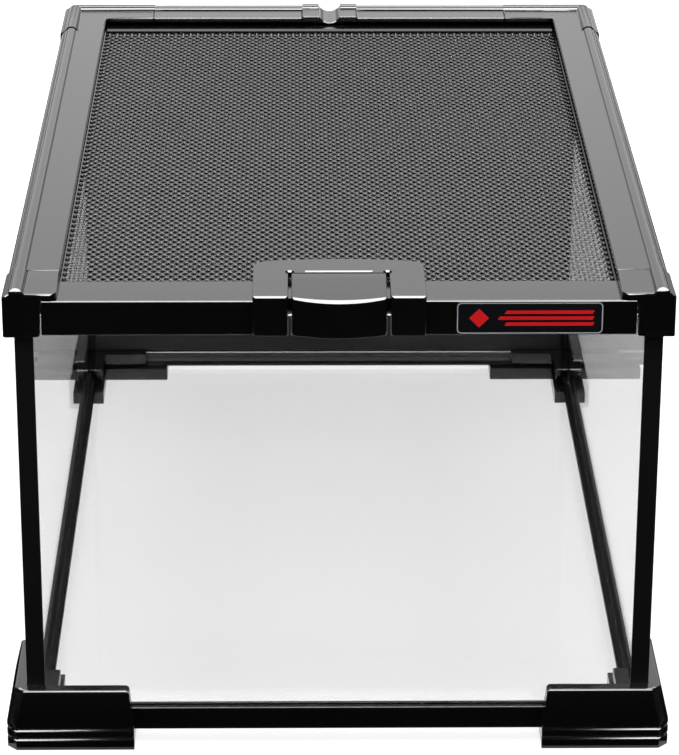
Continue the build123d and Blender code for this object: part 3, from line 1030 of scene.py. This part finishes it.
@dataclass
class Badge:
    """A dark plate with a silver line round it and a plain red motif of stripes and a diamond."""

    node: str = "badge_plate"
    plate_edge: float = 0.12
    line_width: float = 0.3
    inset: float = 0.3
    corner: float = 1.4
    relief: float = 0.05
    sink: float = 0.05
    corner_steps: int = 6
    # each stripe: distance from the plate's left, length, height above the middle
    stripes: tuple[tuple[float, float, float], ...] = (
        (13.6, 27.0, 1.9),
        (11.6, 29.0, 0.0),
        (13.6, 27.0, -1.9),
    )
    stripe_height: float = 1.1
    slant: float = 0.6
    diamond: float = 3.0
    diamond_place: float = 6.6

    def outline(self, width: float, height: float, corner: float) -> list[tuple[float, float]]:
        """Points round a rectangle with round corners, about its middle.

        Args:
            width: Full width.
            height: Full height.
            corner: Corner radius.

        Returns:
            The points, anticlockwise.
        """
        points = []
        for quarter, (sign_x, sign_y) in enumerate(((1, 1), (-1, 1), (-1, -1), (1, -1))):
            for step in range(self.corner_steps + 1):
                angle = math.radians(90.0 * (quarter + step / self.corner_steps))
                x = sign_x * (width / 2 - corner) + corner * math.cos(angle)
                y = sign_y * (height / 2 - corner) + corner * math.sin(angle)
                points.append((x, y))
        return points

    def raised(
        self,
        name: str,
        rims: Sequence[list[tuple[float, float]]],
        material: bpy.types.Material,
        middle: Vector,
    ) -> bpy.types.Object:
        """A thin raised shape on the badge's face.

        Args:
            name: The piece's name.
            rims: One outline for a solid shape, or an outer and an inner one for a ring.
            material: The finish.
            middle: The middle of the badge's face.

        Returns:
            The new piece.
        """
        shape = bmesh.new()
        rings = [
            [shape.verts.new((middle.x + x * MM, depth, middle.z + z * MM)) for x, z in rim]
            for rim in rims
            for depth in (middle.y - self.relief * MM, middle.y + self.sink * MM)
        ]
        solid = len(rims) == 1
        bands = [(0, 1)] if solid else [(0, 1), (2, 0), (3, 2), (1, 3)]
        count = len(rims[0])
        for k in range(count):
            n = (k + 1) % count
            for one, other in bands:
                shape.faces.new((rings[one][k], rings[one][n], rings[other][n], rings[other][k]))
        if solid:
            shape.faces.new(rings[0])
            shape.faces.new(list(reversed(rings[1])))
        bmesh.ops.recalc_face_normals(shape, faces=shape.faces)
        mesh = bpy.data.meshes.new(name)
        shape.to_mesh(mesh)
        shape.free()
        return settle(new_piece(name, mesh, material), Body.LID)

    def build(self, frame: Frame, palette: Palette) -> None:
        """Builds the plate, the silver line and the motif.

        Args:
            frame: The loaded frame.
            palette: The finishes.
        """
        plate = RoundedNode(self.node, self.plate_edge, segments=2)
        plate.build(frame, palette.badge, Body.LID, "badge")
        low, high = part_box(self.node)
        middle = Vector(((low.x + high.x) / 2, low.y, (low.z + high.z) / 2))
        width = (high.x - low.x) / MM - 2 * self.inset
        height = (high.z - low.z) / MM - 2 * self.inset
        outer = self.outline(width, height, self.corner)
        inner = self.outline(
            width - 2 * self.line_width, height - 2 * self.line_width, self.corner - self.line_width
        )
        self.raised("badge_silver_line", [outer, inner], palette.silver, middle)
        half = self.stripe_height / 2
        for number, (offset, length, rise) in enumerate(self.stripes, 1):
            left, right = offset - width / 2, offset - width / 2 + length
            bar = [
                (left + self.slant, rise - half),
                (right, rise - half),
                (right + self.slant, rise + half),
                (left + 2 * self.slant, rise + half),
            ]
            self.raised(f"badge_stripe_{number}", [bar], palette.red, middle)
        span = self.diamond
        centre = self.diamond_place - width / 2
        gem = [(centre + span, 0.0), (centre, span), (centre - span, 0.0), (centre, -span)]
        self.raised("badge_diamond", [gem], palette.red, middle)


# ---------------------------------------------------------------- studio


@dataclass
class Softbox:
    """A rectangular studio light, placed and sized in metres."""

    name: str
    place: tuple[float, float, float]
    aim: tuple[float, float, float]
    width: float
    height: float
    radiance: float
    diffuse: bool = True

    def build(self) -> bpy.types.Object:
        """Places the light.

        Returns:
            The light object.
        """
        lamp = bpy.data.lights.new(self.name, "AREA")
        lamp.shape = "RECTANGLE"
        lamp.size, lamp.size_y = self.width, self.height
        lamp.energy = math.pi * self.width * self.height * self.radiance
        light = bpy.data.objects.new(self.name, lamp)
        light.location = self.place
        toward = Vector(self.aim) - Vector(self.place)
        light.rotation_euler = toward.to_track_quat("-Z", "Y").to_euler()
        light.visible_camera = False
        light.visible_diffuse = self.diffuse
        light.visible_transmission = False
        bpy.context.scene.collection.objects.link(light)
        return light


@dataclass
class Studio:
    """Floor, lights, sky and camera."""

    lens: float = 158.0
    camera_place: tuple[float, float, float] = (-0.0131, -1.0743, 0.5092)
    pitch: float = 22.63
    yaw: float = 0.82
    roll: float = 0.20
    sky: float = 0.55
    sky_before: float = 0.04
    sky_full_at: float = 0.8
    floor_size: float = 8.0
    floor_colour: Colour = grey(0.7)
    floor_paler: Colour = grey(0.71)
    floor_glow: float = 0.84
    card_gap: float = 1.0
    card_height: float = 0.5
    card_reach: float = 1.5
    card_front: float = -3.0
    card_rear: float = 1.2

    def camera(self) -> None:
        """Makes the camera, which looks down at the front of the tank."""
        pitch, yaw, roll = (math.radians(a) for a in (self.pitch, self.yaw, self.roll))
        ahead = Vector(
            (math.sin(yaw) * math.cos(pitch), math.cos(yaw) * math.cos(pitch), -math.sin(pitch))
        )
        level = Vector((math.cos(yaw), -math.sin(yaw), 0.0))
        upright = level.cross(ahead)
        right = math.cos(roll) * level + math.sin(roll) * upright
        up = -math.sin(roll) * level + math.cos(roll) * upright
        data = bpy.data.cameras.new("view")
        data.lens = self.lens
        data.sensor_width = 36.0
        data.clip_start, data.clip_end = 0.01, 50.0
        camera = bpy.data.objects.new("view", data)
        turn = Matrix((right, up, -ahead)).transposed()
        camera.matrix_world = Matrix.Translation(self.camera_place) @ turn.to_4x4()
        bpy.context.scene.collection.objects.link(camera)
        bpy.context.scene.camera = camera

    def floor(self) -> None:
        """Lays the pale floor, and the dark cards that only glossy rays see beside the tank."""
        material, tree, shader, _ = start_material("pale_floor")
        place = tree.add("ShaderNodeTexCoord").outputs["Object"]
        cloud = tree.spread(tree.noise(place, 2.0, 2.0), 0.3, 0.7, 0.0, 1.0)
        tree.link(tree.mix(cloud, self.floor_colour, self.floor_paler), shader.inputs["Base Color"])
        shader.inputs["Roughness"].default_value = 0.9
        shader.inputs["Specular IOR Level"].default_value = 0.1
        shader.inputs["Emission Color"].default_value = (1.0, 1.0, 1.0, 1.0)
        shader.inputs["Emission Strength"].default_value = self.floor_glow
        dark, _, shade, _ = start_material("dark_card")
        shade.inputs["Base Color"].default_value = (0.0, 0.0, 0.0, 1.0)
        shade.inputs["Roughness"].default_value = 1.0
        shade.inputs["Specular IOR Level"].default_value = 0.0
        half, reach, height = self.floor_size / 2, self.card_reach, self.card_height * MM
        floor = self.card("studio_floor", (-half, half), (-half, half), 0.0, material)
        low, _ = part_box("foot_front_left")
        near = abs(low.x) + self.card_gap * MM
        front = (self.card_front, low.y - self.card_gap * MM)
        cards = [self.card("dark_card", (-reach, reach), front, height, dark)]
        for side, span in ((Side.LEFT, (-reach, -near)), (Side.RIGHT, (near, reach))):
            wing = self.card(f"dark_card_{side.word}", span, (low.y, self.card_rear), height, dark)
            wing.visible_transmission = False
            cards.append(wing)
        for card in cards:
            card.visible_camera = card.visible_diffuse = card.visible_shadow = False

    def card(
        self,
        name: str,
        span_x: tuple[float, float],
        span_y: tuple[float, float],
        height: float,
        material: bpy.types.Material,
    ) -> bpy.types.Object:
        """A flat level rectangle.

        Args:
            name: The object's name.
            span_x: From and to in X.
            span_y: From and to in Y.
            height: Its Z.
            material: Its finish.

        Returns:
            The object.
        """
        mesh = bpy.data.meshes.new(name)
        corners = [(span_x[i], span_y[j], height) for i, j in ((0, 0), (1, 0), (1, 1), (0, 1))]
        mesh.from_pydata(corners, [], [(0, 1, 2, 3)])
        return new_piece(name, mesh, material)

    def sky_light(self) -> None:
        """A soft sky, bright behind the tank and dark on the camera's side."""
        world = bpy.data.worlds.new("studio_sky")
        world.use_nodes = True
        world.node_tree.nodes.clear()
        tree = Tree(world.node_tree)
        split = tree.add("ShaderNodeSeparateXYZ")
        tree.link(tree.add("ShaderNodeTexCoord").outputs["Generated"], split.inputs[0])
        behind = tree.spread(split.outputs["Y"], 0.0, self.sky_full_at, self.sky_before, 1.0)
        strength = tree.math("MULTIPLY", behind, self.sky)
        background = tree.add("ShaderNodeBackground")
        background.inputs["Color"].default_value = (1.0, 1.0, 1.0, 1.0)
        tree.link(strength, background.inputs["Strength"])
        output = tree.add("ShaderNodeOutputWorld")
        tree.link(background.outputs[0], output.inputs["Surface"])
        bpy.context.scene.world = world

    def lights(self) -> None:
        """Hangs the softboxes."""
        centre, foot, above = (0.0, 0.0, 0.0), (0.0, 0.0, 0.15), (0.0, 0.0, 0.95)
        strip = {"aim": foot, "width": 2.4, "diffuse": False}
        softboxes = (
            Softbox("back_softbox", (0.0, 1.8, 1.15), above, width=3.2, height=1.5, radiance=0.95),
            Softbox("top_fill", (0.0, 0.0, 1.7), centre, width=1.6, height=1.6, radiance=2.2),
            Softbox("rear_strip", (0.0, 0.78, 1.45), height=0.6, radiance=12.0, **strip),
            Softbox("front_strip", (0.0, -0.8, 1.45), height=1.1, radiance=24.0, **strip),
        )
        for softbox in softboxes:
            softbox.build()

    def build(self) -> None:
        """Sets up the studio."""
        bpy.context.scene.view_settings.view_transform = "Standard"
        self.camera()
        self.floor()
        self.sky_light()
        self.lights()


# ---------------------------------------------------------------- the whole


def main() -> None:
    """Builds the studio and each sub-assembly of the terrarium in order."""
    logging.basicConfig(level=logging.INFO, format="%(name)s: %(message)s")
    for thing in list(bpy.data.objects):
        bpy.data.objects.remove(thing)
    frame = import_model()
    Studio().build()
    palette = Palette()
    steps: tuple[tuple[str, Callable[[Frame, Palette], None]], ...] = (
        ("glass box", GlassBox().build),
        ("bottom frame", BottomFrame().build),
        ("top frame", TopFrame().build),
        ("lid", Lid().build),
        ("latch", Latch().build),
        ("badge", Badge().build),
    )
    for label, step in steps:
        LOG.info("building the %s", label)
        step(frame, palette)


if __name__ == "__main__":
    main()
